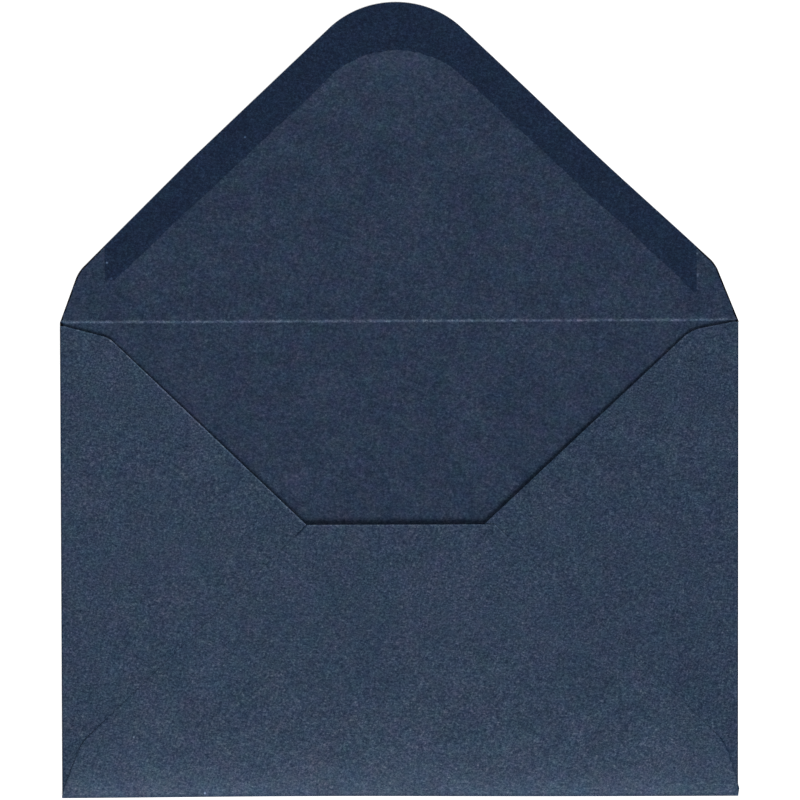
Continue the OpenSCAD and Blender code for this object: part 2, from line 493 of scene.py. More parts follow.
@dataclass(frozen=True)
class BottomFlapCut:
    """Outline of the bottom flap, from its fold to the throat.

    Attributes:
        left_foot_x, right_foot_x: Ends of the fold.
        left_ear, right_ear: Corners just above the fold's ends.
        left_shoulder, right_shoulder: Low ends of the slanted edges.
        left_throat, right_throat: High ends of the slanted edges.
        shoulder_r, throat_r: Radii of the corners there.
        shoulder_steps, throat_steps: Number of edges along each rounding.
    """

    left_foot_x: float = -81.14 * MM
    right_foot_x: float = 81.05 * MM
    left_ear: Point = (-80.85 * MM, -55.1 * MM)
    right_ear: Point = (81.26 * MM, -55.1 * MM)
    left_shoulder: Point = (-76.3 * MM, -43.6 * MM)
    right_shoulder: Point = (78.1 * MM, -44.4 * MM)
    left_throat: Point = (-22.30 * MM, 8.31 * MM)
    right_throat: Point = (22.61 * MM, 8.25 * MM)
    shoulder_r: float = 9 * MM
    throat_r: float = 0.8 * MM
    shoulder_steps: int = 8
    throat_steps: int = 4

    def seam(self, side: int) -> tuple[Vector, Vector, Vector]:
        """Describe the slanted edge of one side.

        Args:
            side: -1 for the left edge and 1 for the right one.

        Returns:
            Its start, its end and the direction in which it faces.
        """
        left = (self.left_shoulder, self.left_throat)
        right = (self.right_shoulder, self.right_throat)
        start, end = (Vector(spot) for spot in (left if side < 0 else right))
        along = (end - start).normalized()
        return start, end, Vector((side * along.y, -side * along.x))


@dataclass
class EnvelopeSheet:
    """The one sheet of paper: front panel, top flap, two side flaps and bottom flap.

    Attributes:
        roof: Shape of the pocket's back.
        top, bottom, left, right: Outlines of the flaps.
        fold_steps: Number of faces round each fold.
        slit: Height of the slits at the ends of the side folds.
        corner_gap: How far the side folds stop above the bottom fold.
        flap_reach: Width of the plates that the side flaps are cut from.
        seam_gap, seam_step: Where a side flap rises beside a glued edge, and over what width.
        seam_lift, seam_reach: How high it rises there, and how far out the rise fades.
        seam_start, seam_end: Over which lengths the rise fades in and out along the seam.
        fold_lean, lean_start, lean_end: Slope of the right fold, and where the lean fades in.
        left_lean, left_lean_zero: Slope of the left fold, and the place where it is upright.
        bow_base, bow_rise: How far the bottom fold is bowed up, and how much more at its middle.
        bow_centre, bow_width, bow_reach: Middle, width and height of the bow.
        edge_band: Width of the band along a cut edge that carries the painted highlight and shade.
        fold_light_reach: How far the painted light on the bottom flap fades up from its fold.
        pale_top, pale_width: Where the top flap is pale under the gum's point, and how widely.
        pale_reach, pale_depth: How fast that fades downwards, and where it ends.
        painted_light_left, painted_light_span: How much painted light brightens the paper at the
            left, and from where.
        painted_shade_right, painted_shade_span: How much painted shade darkens it at the right, and
            from where.
        side_fold_shade, bottom_fold_shade: How dark the painted shade on the outer halves of the
            folds is.
        fold_shade_start: How far out on a fold its painted shade starts.
        throat_seam, throat_seam_light: Length and strength of a seam's painted shade and highlight
            beside the throat.
        low_seam_light, low_seam_top: Strength and upper end of the painted shade low on the right
            seam.
        left_seam_light, left_seam_fade: Strength of the painted shade on the left seam, and where
            it fades out.
        highlight_facing, highlight_focus: Where the cut edges with the brightest painted highlight
            face, and how sharply that fades.
        slant: Least sideways share in the facing of a glued edge.
        bead_height, bead_half_width: Size of the bead along the crease.
        pitch, grid_inset: Spacing of the mesh, and how far from a fold its first line is.
        beside_fold, above_fold: How far from the side folds and the bottom fold it is finer.
    """

    roof: PressedRoof = field(default_factory=PressedRoof)
    top: TopFlapCut = field(default_factory=TopFlapCut)
    bottom: BottomFlapCut = field(default_factory=BottomFlapCut)
    left: SideFlapCut = SideFlapCut(
        fold_x=-80.64 * MM,
        fold_top=56.0 * MM,
        shelf_x=-81.10 * MM,
        top=(-81.09 * MM, 56.26 * MM),
        corner=(-69.46 * MM, 53.16 * MM),
        low_top=(-22.81 * MM, 8.66 * MM),
        corner_r=5 * MM,
    )
    right: SideFlapCut = SideFlapCut(
        fold_x=80.53 * MM,
        fold_top=56.45 * MM,
        shelf_x=81.10 * MM,
        top=(80.99 * MM, 56.69 * MM),
        corner=(69.58 * MM, 54.45 * MM),
        low_top=(20.36 * MM, 8.59 * MM),
        corner_r=8 * MM,
    )
    fold_steps: int = 10
    slit: float = 0.02 * MM
    corner_gap: float = 0.15 * MM
    flap_reach: float = 80 * MM
    seam_gap: float = 0.08 * MM
    seam_step: float = 0.03 * MM
    seam_lift: float = 0.17 * MM
    seam_reach: float = 5 * MM
    seam_start: float = 12 * MM
    seam_end: float = 5 * MM
    fold_lean: float = 0.0047
    lean_start: float = 66 * MM
    lean_end: float = 2 * MM
    left_lean: float = 0.0012
    left_lean_zero: float = -10 * MM
    bow_base: float = 0.15 * MM
    bow_rise: float = 0.31 * MM
    bow_centre: float = -22 * MM
    bow_width: float = 45 * MM
    bow_reach: float = 25 * MM
    edge_band: float = 0.4 * MM
    fold_light_reach: float = 10.5 * MM
    pale_top: float = 121.7 * MM
    pale_width: float = 17 * MM
    pale_reach: float = 9 * MM
    pale_depth: float = 30 * MM
    painted_light_left: float = 0.06
    painted_shade_right: float = 0.09
    painted_light_span: float = 60 * MM
    painted_shade_span: float = 75 * MM
    side_fold_shade: float = 0.5
    bottom_fold_shade: float = 0.45
    fold_shade_start: float = 0.05 * MM
    throat_seam: float = 2.8 * MM
    throat_seam_light: float = 0.22
    low_seam_light: float = 0.4
    low_seam_top: float = -43 * MM
    left_seam_light: float = 0.06
    left_seam_fade: Point = (-32 * MM, -8 * MM)
    highlight_facing: Vector = field(default_factory=lambda: Vector((0.866, 0.5)))
    highlight_focus: float = 2.5
    slant: float = 0.4
    bead_height: float = 0.09 * MM
    bead_half_width: float = 0.4 * MM
    pitch: float = 1.5 * MM
    grid_inset: float = 0.3 * MM
    beside_fold: float = 3 * MM
    above_fold: float = 9 * MM

    def build(self, shop: "PaperShop") -> bpy.types.Object:
        """Cut, fold, press and dress the sheet.

        Args:
            shop: Builds the materials.

        Returns:
            The finished sheet.
        """
        roof = self.roof
        front_low = roof.bottom + roof.bottom_fold_r
        side_low = front_low + self.corner_gap
        corner = (self.right.fold_x, roof.crease)
        piece = Workpiece("paper_sheet", (self.left.fold_x, front_low), corner, roof.paper / 2)
        self._score_front(piece, side_low)
        self._open_top_flap(piece)
        self._fold_side(piece, self.left, -1, side_low)
        self._fold_side(piece, self.right, 1, side_low)
        self._fold_bottom(piece, front_low)
        piece.grid(self._lines_across(), self._lines_up())
        sheet = piece.close()
        marks = self._press(sheet)
        self._face_up(sheet)
        self._paint_cut_edges(sheet, marks)
        inside = shop.material(INSIDE, roof.crease)
        dress(sheet, [inside, shop.material(OUTSIDE), shop.material(CUT)])
        thicken(sheet, roof.paper, slots=1)
        return sheet

    def _score_front(self, piece: Workpiece, side_low: float) -> None:
        """Score the front at the ends of the side folds, and let it reach out above and below them.

        Args:
            piece: The sheet.
            side_low: Lower end of the side folds.
        """
        piece.pick(Pick.FACES, lambda p: True)
        piece.score((0, -FAR), (0, FAR))
        feet = (self.bottom.left_foot_x, self.bottom.right_foot_x)
        for cut, side, foot_x in ((self.left, -1, feet[0]), (self.right, 1, feet[1])):
            for y in (side_low - self.slit, side_low, cut.fold_top, cut.fold_top + self.slit):
                piece.pick(Pick.FACES, lambda p: side * p.x > -SAME)
                piece.score((-FAR, y), (FAR, y))
            shelf_y = cut.fold_top + self.slit / 2
            piece.pick(Pick.VERTICES, lambda p: abs(p.x - cut.fold_x) < SAME and p.y > shelf_y)
            bpy.ops.transform.translate(value=(cut.shelf_x - cut.fold_x, 0, 0))
            foot_y = side_low - self.slit / 2
            piece.pick(Pick.VERTICES, lambda p: abs(p.x - cut.fold_x) < SAME and p.y < foot_y)
            bpy.ops.transform.translate(value=(foot_x - cut.fold_x, 0, 0))
        piece.pick_nearest(Vector((0, self.roof.crease, self.roof.paper / 2)))
        bpy.ops.mesh.dissolve_verts()

    def _open_top_flap(self, piece: Workpiece) -> None:
        """Extrude the top flap from the front panel and cut its outline.

        Args:
            piece: The sheet.
        """
        crease = self.roof.crease
        middle = self.roof.paper / 2
        for foot, cut in ((self.top.left_foot, self.left), (self.top.right_foot, self.right)):
            piece.pick_nearest(Vector((cut.shelf_x, crease, middle)))
            bpy.ops.transform.translate(value=(foot[0] - cut.shelf_x, 0, 0))
        piece.pick(Pick.EDGES, lambda p: abs(p.y - crease) < SAME)
        piece.extrude(Vector((0, self.top.point[1] - crease + MM, 0)))

        def pick_flap() -> None:
            """Select the flap, past the crease."""
            piece.pick(Pick.FACES, lambda p: p.y > crease - SAME)

        self.top.cut(piece, pick_flap, middle)
        self._band(pick_flap)

    def _fold_side(self, piece: Workpiece, cut: SideFlapCut, side: int, low: float) -> None:
        """Spin a side fold from the front's edge, extrude the flap from it and cut its outline.

        Args:
            piece: The sheet.
            cut: Outline of the flap.
            side: -1 for the left flap and 1 for the right one.
            low: Lower end of the fold.
        """
        roof = self.roof
        piece.pick(
            Pick.EDGES,
            lambda p: abs(p.x - cut.fold_x) < SAME and low - SAME < p.y < cut.fold_top + SAME,
        )
        bpy.ops.mesh.spin(
            steps=self.fold_steps,
            angle=math.pi - roof.side_spring,
            center=(cut.fold_x, 0, roof.side_fold_r),
            axis=(0, side, 0),
        )
        end_in, end_z = roof.side_end()
        end_x = cut.fold_x + side * (roof.side_fold_r - end_in)
        piece.extrude(Vector((-side * self.flap_reach, 0, 0)))

        def pick_flap() -> None:
            """Select the flap, past the fold."""
            piece.pick(
                Pick.FACES,
                lambda p: abs(p.z - end_z) < SAME and 0 < side * p.x < side * end_x + SAME,
            )

        outline = cut.outline()
        piece.follow(outline[::-side], pick_flap, mirrored=True)
        for corner, radius in zip(outline[1:4], (cut.corner_r, cut.tip_r, cut.corner_r)):
            piece.round_corner(corner, end_z, radius, cut.corner_steps)
        self._band(pick_flap)
        start, end, outward = self.bottom.seam(side)
        for gap in (self.seam_gap, self.seam_gap + self.seam_step):
            pick_flap()
            piece.score(tuple(start + outward * gap), tuple(end + outward * gap))

    def _fold_bottom(self, piece: Workpiece, front_low: float) -> None:
        """Spin the bottom fold, extrude the bottom flap from it and cut its outline.

        Args:
            piece: The sheet.
            front_low: Place where the front ends and the fold begins.
        """
        roof = self.roof
        cut = self.bottom
        piece.pick(Pick.EDGES, lambda p: abs(p.y - front_low) < SAME)
        bpy.ops.mesh.spin(
            steps=self.fold_steps,
            angle=math.pi - roof.bottom_spring,
            center=(0, front_low, roof.bottom_fold_r),
            axis=(1, 0, 0),
        )
        end_in, end_z = roof.bottom_end()
        end_y = roof.bottom + end_in
        ear_y = cut.left_ear[1]
        piece.extrude(Vector((0, ear_y - end_y, 0)))
        for foot_x, ear in ((cut.left_foot_x, cut.left_ear), (cut.right_foot_x, cut.right_ear)):
            piece.pick_nearest(Vector((foot_x, ear[1], end_z)))
            bpy.ops.transform.translate(value=(ear[0] - foot_x, 0, 0))
        piece.pick(Pick.EDGES, lambda p: abs(p.z - end_z) < SAME and abs(p.y - ear_y) < SAME)
        piece.extrude(Vector((0, cut.left_throat[1] - ear_y, 0)))

        def pick_flap(low: float) -> None:
            """Select the flap above a place."""
            piece.pick(Pick.FACES, lambda p: abs(p.z - end_z) < SAME and p.y > low - SAME)

        left = (cut.left_ear, cut.left_shoulder, cut.left_throat)
        right = (cut.right_throat, cut.right_shoulder, cut.right_ear)
        piece.follow([*left, *right], lambda: pick_flap(ear_y), mirrored=True)
        for corner in (cut.left_shoulder, cut.right_shoulder):
            piece.round_corner(corner, end_z, cut.shoulder_r, cut.shoulder_steps)
        for corner in (cut.left_throat, cut.right_throat):
            piece.round_corner(corner, end_z, cut.throat_r, cut.throat_steps)
        self._band(lambda: pick_flap(end_y))

    def _band(self, select: Select) -> None:
        """Inset a narrow band along the outline of a flap, for the painted highlight and shade of
        its cut edge.
        """
        select()
        Workpiece.inset(self.edge_band)

    def _lines_across(self) -> list[float]:
        """Space the mesh across the sheet, closer beside the side folds.

        Returns:
            The values of x at which the sheet is cut.
        """
        beside = self.beside_fold
        left = self.left.fold_x + self.grid_inset
        right = self.right.fold_x - self.grid_inset
        return [
            *steps(left, left + beside, self.pitch / 2),
            *steps(left + beside, right - beside, self.pitch)[1:-1],
            *steps(right - beside, right, self.pitch / 2),
        ]

    def _lines_up(self) -> list[float]:
        """Space the mesh up the sheet, closer at the bottom fold and at the crease.

        Returns:
            The values of y at which the sheet is cut.
        """
        roof = self.roof
        low = roof.bottom + roof.bottom_fold_r + self.grid_inset
        above_fold = low + self.above_fold
        bead_low = roof.crease - self.bead_half_width
        bead_high = roof.crease + self.bead_half_width
        return [
            *steps(low, above_fold, self.pitch / 3),
            *steps(above_fold, bead_low, self.pitch)[1:-1],
            *steps(bead_low, bead_high, self.bead_half_width / 4),
            *steps(bead_high, self.top.point[1], self.pitch)[1:],
        ]

    def _press(self, sheet: bpy.types.Object) -> list[float]:
        """Round the folded sheet's back, raise its bead and lean its folds.

        The attribute that holds the painted light and shade and the paler paper under the gum's
        point is stored here, while a point's height still tells its layer.

        Args:
            sheet: The folded sheet.

        Returns:
            How dark the painted shade makes each point on the outer half of a fold, as a number up
            to 0.
        """
        painted_light_and_pale = []
        marks = []
        for vertex in sheet.data.vertices:
            spot = vertex.co
            layer = self._layer(spot)
            painted_light_and_pale.append(self._fold_light_and_pale_point(spot, layer) + self._painted_side_light(spot.x))
            marks.append(self._fold_shade(spot, layer))
            spot.z = self._height(spot, layer)
            if layer is Layer.FRONT and spot.y > self.roof.crease:
                vertex.co += self.top.shift(spot)
            self._lean(spot)
        sheet.data.attributes.new("painted_light_and_pale", "FLOAT", "POINT").data.foreach_set("value", painted_light_and_pale)
        sheet.data.update()
        return marks

    def _layer(self, spot: Vector) -> Layer:
        """Find the part of the folded, unpressed sheet on which a point lies.

        Args:
            spot: Place of the point.

        Returns:
            The part.
        """
        roof = self.roof
        if spot.z - roof.paper / 2 < SAME:
            return Layer.FRONT
        if spot.y < roof.bottom + roof.bottom_fold_r - SAME:
            return Layer.BOTTOM_FOLD
        if abs(spot.z - roof.bottom_end()[1]) < SAME:
            return Layer.BOTTOM_FLAP
        beside = spot.x < self.left.fold_x - SAME or spot.x > self.right.fold_x + SAME
        return Layer.SIDE_FOLD if beside else Layer.SIDE_FLAP

    def _height(self, spot: Vector, layer: Layer) -> float:
        """Work out the height to which the press moves a point.

        Args:
            spot: Place of the point.
            layer: Part of the sheet on which it lies.

        Returns:
            The height.
        """
        roof = self.roof
        below = roof.paper + roof.glue
        if layer is Layer.FRONT:
            return spot.z + self._bead(spot.y)
        if layer is Layer.BOTTOM_FLAP:
            return roof.height(spot.x, spot.y)
        if layer is Layer.SIDE_FLAP:
            return roof.height(spot.x, spot.y) - below + self._lift(spot.x, spot.y)
        if layer is Layer.BOTTOM_FOLD:
            end_z = roof.bottom_end()[1]
            edge = roof.height(spot.x, roof.bottom + roof.bottom_fold_r)
        else:
            end_z = roof.side_end()[1]
            edge = roof.height(self.left.fold_x, spot.y) - below
        front_z = roof.paper / 2
        return spot.z + (edge - end_z) * ((spot.z - front_z) / (end_z - front_z)) ** 2

    def _lean(self, spot: Vector) -> None:
        """Lean a point with the side folds, and bow it with the bottom fold.

        Args:
            spot: Place of the point, which is changed.
        """
        roof = self.roof
        lean = max(roof.crease - spot.y, 0.0) * self.fold_lean
        spot.x -= lean * smooth_step(self.lean_start, self.right.fold_x - self.lean_end, spot.x)
        if spot.y < roof.crease - SAME:
            lean = (spot.y - self.left_lean_zero) * self.left_lean
            spot.x -= lean * smooth_step(-self.lean_start, self.left.fold_x + self.lean_end, spot.x)
        across = (spot.x - self.bow_centre) / self.bow_width
        bow = self.bow_base + self.bow_rise * math.exp(-(across**2))
        low, high = roof.bottom + self.lean_end, roof.bottom + self.bow_reach
        spot.y += bow * (1 - smooth_step(low, high, spot.y))

    def _fold_light_and_pale_point(self, spot: Vector, layer: Layer) -> float:
        """Work out how much painted light brightens a point near the bottom fold, and how pale the
        paper is under the gum's point.

        Args:
            spot: Place of the point.
            layer: Part of the sheet on which it lies.

        Returns:
            1 of painted light on the bottom fold, fading upwards, and 1 of paler paper beside the
            gum's point.
        """
        if layer is Layer.FRONT:
            return self._pale_point(spot.x, spot.y)
        # Painted light: the bottom flap is brighter towards its fold.
        if layer in (Layer.BOTTOM_FOLD, Layer.BOTTOM_FLAP):
            return math.exp(-max(spot.y - self.roof.bottom, 0.0) / self.fold_light_reach)
        return 0.0

    def _fold_shade(self, spot: Vector, layer: Layer) -> float:
        """Work out how dark the painted shade makes a point on the outer half of a fold.

        Args:
            spot: Place of the point.
            layer: Part of the sheet on which it lies.

        Returns:
            0 for no painted shade, and less for a dark one.
        """
        if layer is Layer.FRONT:
            return 0.0
        outside = max(self.left.fold_x - spot.x, spot.x - self.right.fold_x)
        mark = self.side_fold_shade
        if layer is Layer.BOTTOM_FOLD:
            outside = self.roof.bottom + self.roof.bottom_fold_r - spot.y
            mark = self.bottom_fold_shade
        return -mark * smooth_step(self.fold_shade_start, self.roof.side_fold_r, outside)

    def _painted_side_light(self, x: float) -> float:
        """Return the painted light at the left of the sheet or, below 0, the painted shade at its
        right.
        """
        pale = self.painted_light_left * smooth_step(0, self.painted_light_span, -x)
        return pale - self.painted_shade_right * smooth_step(0, self.painted_shade_span, x)

    def _lift(self, x: float, y: float) -> float:
        """Work out how far the press has raised a side flap beside the bottom flap's glued edge.

        Args:
            x: Place across the envelope.
            y: Place up the envelope.

        Returns:
            The height that is added.
        """
        start, end, outward = self.bottom.seam(-1 if x < 0 else 1)
        spot = Vector((x, y)) - start
        out = spot.dot(outward)
        if out < self.seam_gap + self.seam_step / 2:
            return 0.0
        along = spot.dot((end - start).normalized())
        length = (end - start).length
        share = smooth_step(0, self.seam_start, along)
        share *= 1 - smooth_step(length - self.seam_end, length, along)
        return self.seam_lift * share * math.exp(-out / self.seam_reach)

    def _pale_point(self, x: float, y: float) -> float:
        """Work out how pale the top flap is just under the point of the gum.

        Args:
            x: Place across the envelope.
            y: Place up the envelope.

        Returns:
            A share from 0 to 1.
        """
        if y < self.pale_top - self.pale_depth:
            return 0.0
        below = max(self.pale_top - y, 0.0)
        return math.exp(-((x / self.pale_width) ** 2) - below / self.pale_reach)

    def _bead(self, y: float) -> float:
        """Return the height of the bead that the score raises along the crease."""
        share = min(abs(y - self.roof.crease) / self.bead_half_width, 1.0)
        return self.bead_height * (1 + math.cos(math.pi * share)) / 2

    def _face_up(self, sheet: bpy.types.Object) -> None:
        """Turn the sheet's faces so that the inside of the envelope is their front.

        Args:
            sheet: The pressed sheet.
        """
        bpy.context.view_layer.objects.active = sheet
        bpy.ops.object.mode_set(mode="EDIT")
        bpy.ops.mesh.select_all(action="SELECT")
        bpy.ops.mesh.normals_make_consistent(inside=False)
        mesh = bmesh.from_edit_mesh(sheet.data)
        front = max(mesh.faces, key=lambda face: face.calc_center_median().y)
        if front.normal.z < 0:
            bpy.ops.mesh.flip_normals()
        bpy.ops.object.mode_set(mode="OBJECT")

    def _paint_cut_edges(self, sheet: bpy.types.Object, marks: list[float]) -> None:
        """Store the attribute "cut_edge": above 0 for painted highlight, below 0 for painted shade.

        Args:
            sheet: The pressed sheet, still without its thickness.
            marks: The painted shade of each point. A point on a cut edge gets the painted light and
                shade of its edge instead.
        """
        mesh = sheet.data
        uses: dict[tuple[int, int], list[int]] = {}
        for polygon in mesh.polygons:
            for key in polygon.edge_keys:
                uses.setdefault(key, []).append(polygon.index)
        for (first, second), polygons in uses.items():
            if len(polygons) == 1:
                start, end = mesh.vertices[first].co, mesh.vertices[second].co
                mark = self._edge_light_and_shade(start, end, mesh.polygons[polygons[0]].center)
                marks[first] = marks[second] = mark
        mesh.attributes.new("cut_edge", "FLOAT", "POINT").data.foreach_set("value", marks)

    def _edge_light_and_shade(self, start: Vector, end: Vector, inside: Vector) -> float:
        """Work out the painted highlight and shade of a cut edge, from the way that it faces.

        Args:
            start: One end of the edge.
            end: The other end.
            inside: A place on the paper beside the edge.

        Returns:
            1 for the brightest painted highlight and -1 for the darkest painted shade.
        """
        # Painted shade along the top flap's edges.
        if start.z < self.roof.paper:
            return -1.0
        along = (end - start).xy.normalized()
        facing = Vector((along.y, -along.x))
        if facing.dot((start - inside).xy) < 0:
            facing.negate()
        on_bottom_flap = start.z > self.roof.height(start.x, start.y) - self.roof.paper / 2
        if on_bottom_flap and abs(facing.x) > self.slant:
            return self._seam_light(start)
        # Painted highlight on the cut edges that face one way.
        return max(facing.dot(self.highlight_facing), 0.0) ** self.highlight_focus

    def _seam_light(self, spot: Vector) -> float:
        """Work out the painted shade and highlight of a glued edge, which show beside the throat
        and towards its low end.

        Args:
            spot: Place on the edge.

        Returns:
            Above 0 for painted highlight, and below 0 for painted shade.
        """
        if spot.y > self.bottom.left_throat[1] - self.throat_seam:
            return math.copysign(self.throat_seam_light, spot.x)
        if spot.x < 0:
            return -self.left_seam_light * (1 - smooth_step(*self.left_seam_fade, spot.y))
        return -self.low_seam_light if spot.y < self.low_seam_top else 0.0


@dataclass
class FlapGum:
    """The dry gum along the two long edges and the point of the top flap.

    Attributes:
        cut: Outline of the flap.
        base, thickness: Height of the gum's underside, and its thickness.
        crease: Place of the flap's crease.
        left_end_x, right_end_x, left_end_y, right_end_y: Ends of the band.
        inner_left, inner_right, inner_point: Lines and corner of its inner border.
        inner_r, inner_steps: Radius of that corner, and the number of edges along it.
        margin: How far the block that cuts the border reaches past the film.
        edge_gap: Bare paper between the gum and the flap's edge.
        ragged: How far the inner border strays.
        tooth, wave: Lengths of the border's fine teeth and of its longer waves.
        tooth_row, wave_row: Where in the noise the teeth and the waves are read.
        pitch: Spacing of the mesh.
    """

    cut: TopFlapCut = field(default_factory=TopFlapCut)
    base: float = PAPER
    thickness: float = FILM
    crease: float = CREASE_Y
    left_end_x: float = -70.4 * MM
    right_end_x: float = 71.05 * MM
    left_end_y: float = 66.95 * MM
    right_end_y: float = 63.6 * MM
    inner_left: tuple[Point, Point] = ((-70 * MM, 65.3 * MM), (-20 * MM, 111.95 * MM))
    inner_right: tuple[Point, Point] = ((20 * MM, 110.99 * MM), (70 * MM, 64.09 * MM))
    inner_point: Point = (-0.46 * MM, 130.18 * MM)
    inner_r: float = 23 * MM
    inner_steps: int = 24
    margin: Point = (20 * MM, 10 * MM)
    edge_gap: float = 0.4 * MM
    ragged: float = 0.3 * MM
    tooth: float = 0.9 * MM
    tooth_row: Point = (0.5, 0.5)
    wave: float = 5 * MM
    wave_row: Point = (2.5, 0.5)
    pitch: float = 4 * MM

    def build(self, shop: "PaperShop") -> bpy.types.Object:
        """Cut the band of gum out of a film on the flap, and dress it.

        Args:
            shop: Builds the material.

        Returns:
            The finished gum.
        """
        film = self._film()
        hollow = self._hollow()
        cutter = film.modifiers.new("inner border", "BOOLEAN")
        cutter.operation = "DIFFERENCE"
        cutter.solver = "EXACT"
        cutter.object = hollow
        bpy.context.view_layer.objects.active = film
        bpy.ops.object.modifier_apply(modifier=cutter.name)
        bpy.data.objects.remove(hollow)
        dress(film, [shop.material(GUM)])
        return film

    def _film(self) -> bpy.types.Object:
        """Make a film of gum that covers the whole flap between the band's ends.

        Returns:
            The film.
        """
        low = (self.cut.left_foot[0], self.crease)
        high = (self.cut.right_foot[0], self.cut.point[1] + MM)
        piece = Workpiece("gum_band", low, high, self.base)
        self.cut.cut(piece, piece.pick_all, self.base)
        left, right = (self.left_end_x, self.left_end_y), (self.right_end_x, self.right_end_y)
        over_left, over_right = (left[0], left[1] + MM), (right[0], right[1] + MM)
        for ends in ((over_left, left), (right, over_right), (left, right)):
            piece.follow(ends, piece.pick_all)
        piece.pick_all()
        piece.inset(self.edge_gap)
        bpy.ops.mesh.select_all(action="INVERT")
        bpy.ops.mesh.delete(type="FACE")
        piece.grid(steps(self.left_end_x, self.right_end_x, self.pitch)[1:-1], [])
        mesh = bmesh.from_edit_mesh(piece.obj.data)
        for vertex in mesh.verts:
            vertex.co += self.cut.shift(vertex.co)
        bmesh.update_edit_mesh(piece.obj.data)
        return piece.close_solid(self.thickness)

    def _hollow(self) -> bpy.types.Object:
        """Make the block that takes the middle out of the film, with a ragged border.

        Returns:
            The block.
        """
        low = (self.left_end_x - self.margin[0], self.crease - self.margin[1])
        high = (self.right_end_x + self.margin[0], self.inner_point[1] + self.margin[1])
        depth = 5 * self.thickness
        piece = Workpiece("inner_border", low, high, self.base - depth)
        for ends in (self.inner_left, self.inner_right):
            piece.follow(ends, piece.pick_all, mirrored=True)
        piece.round_corner(self.inner_point, self.base - depth, self.inner_r, self.inner_steps)
        piece.grid(steps(low[0], high[0], self.tooth)[1:-1], [])
        mesh = bmesh.from_edit_mesh(piece.obj.data)
        for vertex in mesh.verts:
            if vertex.co.y > self.crease:
                teeth = noise.noise(Vector((vertex.co.x / self.tooth, *self.tooth_row)))
                waves = noise.noise(Vector((vertex.co.x / self.wave, *self.wave_row)))
                vertex.co.y += self.ragged * (teeth + waves)
        bmesh.update_edit_mesh(piece.obj.data)
        return piece.close_solid(2 * depth)


@dataclass
class SeamGlue:
    """One line of dry glue between a side flap and the bottom flap.

    Attributes:
        name: Name of the line.
        shoulder, throat: Ends of the slanted edge that it holds.
        roof: Shape of the pocket's back.
        width: Width of the line.
        inset: How far it lies inside the edge.
        end_gap: How far it stops from each end of the edge.
        pitch: Spacing of the mesh.
    """

    name: str
    shoulder: Point
    throat: Point
    roof: PressedRoof = field(default_factory=PressedRoof)
    width: float = 6 * MM
    inset: float = 2.5 * MM
    end_gap: float = 7 * MM
    pitch: float = 3 * MM

    def build(self, shop: "PaperShop") -> bpy.types.Object:
        """Lay the line of glue under the slanted edge of the bottom flap, and dress it.

        Args:
            shop: Builds the material.

        Returns:
            The finished line.
        """
        roof = self.roof
        side = 1 if self.throat[0] > 0 else -1
        reach = (self.throat[0] - self.shoulder[0], self.throat[1] - self.shoulder[1])
        along = Vector(reach).normalized()
        across = Vector((-side * along.y, side * along.x))
        width = across * self.width
        start = Vector(self.shoulder) + along * self.end_gap + across * self.inset
        end = Vector(self.throat) - along * self.end_gap + across * self.inset
        corners = [tuple(spot) for spot in (start, end, end + width, start + width)]
        if side < 0:
            corners.reverse()
        low, high = (tuple(pick(values) for values in zip(*corners)) for pick in (min, max))
        piece = Workpiece(self.name, low, high, 0)
        piece.follow([*corners, corners[0]], piece.pick_all)
        piece.grid(*(steps(*span, self.pitch)[1:-1] for span in zip(low, high)))
        line = piece.close()
        for vertex in line.data.vertices:
            vertex.co.z = roof.height(vertex.co.x, vertex.co.y) - roof.paper / 2 - roof.glue / 2
        dress(line, [shop.material(GLUE)])
        thicken(line, roof.glue)
        return line


def to_linear(level: float) -> float:
    """Return the light of a screen level from 0 to 255."""
    share = level / 255
    return share / 12.92 if share <= 0.04045 else ((share + 0.055) / 1.055) ** 2.4


@dataclass(frozen=True)
class PaperFinish:
    """A paper or gum surface.

    Attributes:
        name: Name of the material.
        colour: Mean colour, in screen levels from 0 to 255.
        grain: Strength of the finest mottle, as a logarithm of light.
        strokes: Strength of the short fibres.
        clouds: Strength of the soft patches.
        tint: Strength of the patches of green and purple.
        relief: Depth of the surface's bumps, in metres.
        roughness: Roughness of the shader.
        gloss: Specular level of the shader.
        edge: Change in screen levels of the painted highlight and shade along cut edges and folds.
        painted_light_and_pale: Change in screen levels of the painted light and shade, and where
            the paper is pale.
        specks: Place, radius in metres and change in screen levels of each speck of dust.
    """

    name: str
    colour: Colour
    grain: float
    strokes: float
    clouds: float
    tint: float
    relief: float
    roughness: float = 0.85
    gloss: float = 0.08
    edge: float = 0.0
    painted_light_and_pale: float = 0.0
    specks: tuple[tuple[float, float, float, float], ...] = ()

    def linear(self) -> tuple[float, float, float, float]:
        """Return the mean colour as the shader takes it."""
        return (*(to_linear(level) for level in self.colour), 1.0)

    def level_step(self) -> Colour:
        """Return what one screen level more adds to the mean colour, as light."""
        return tuple(to_linear(level + 1) - to_linear(level) for level in self.colour)


